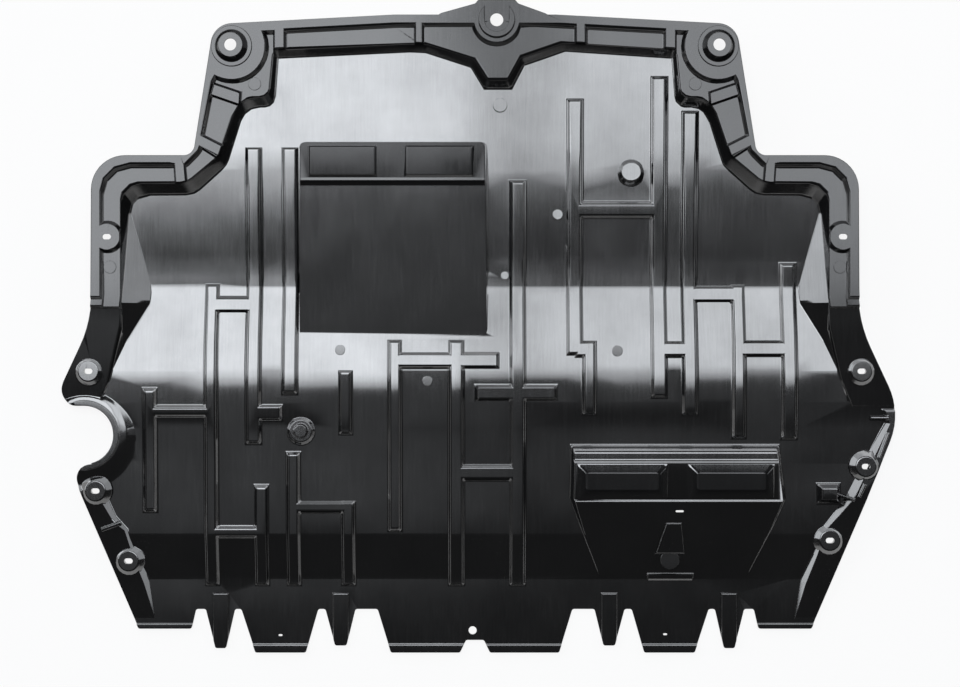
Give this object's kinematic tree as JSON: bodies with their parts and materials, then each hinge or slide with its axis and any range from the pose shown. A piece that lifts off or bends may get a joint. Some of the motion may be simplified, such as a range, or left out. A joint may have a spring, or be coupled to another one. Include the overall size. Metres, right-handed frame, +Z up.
{
  "type": "engine splash shield",
  "caption": "Black moulded plastic engine splash shield with a stepped rim, ribs, two raised panels, side slots and a front edge of tabs.",
  "frame": {"origin": "centre of the bounding box in plan, at the lowest point, the level that the sheet rests on", "axes": "+X across the car towards the picture's right, +Y towards the rear lug, the picture's top, +Z up towards the engine"},
  "size_m": [0.9335, 0.7383, 0.045],
  "materials": {
    "black_plastic": "satin"
  },
  "bodies": {
    "root": {"splash_shield": "black_plastic"}
  },
  "joints": []
}
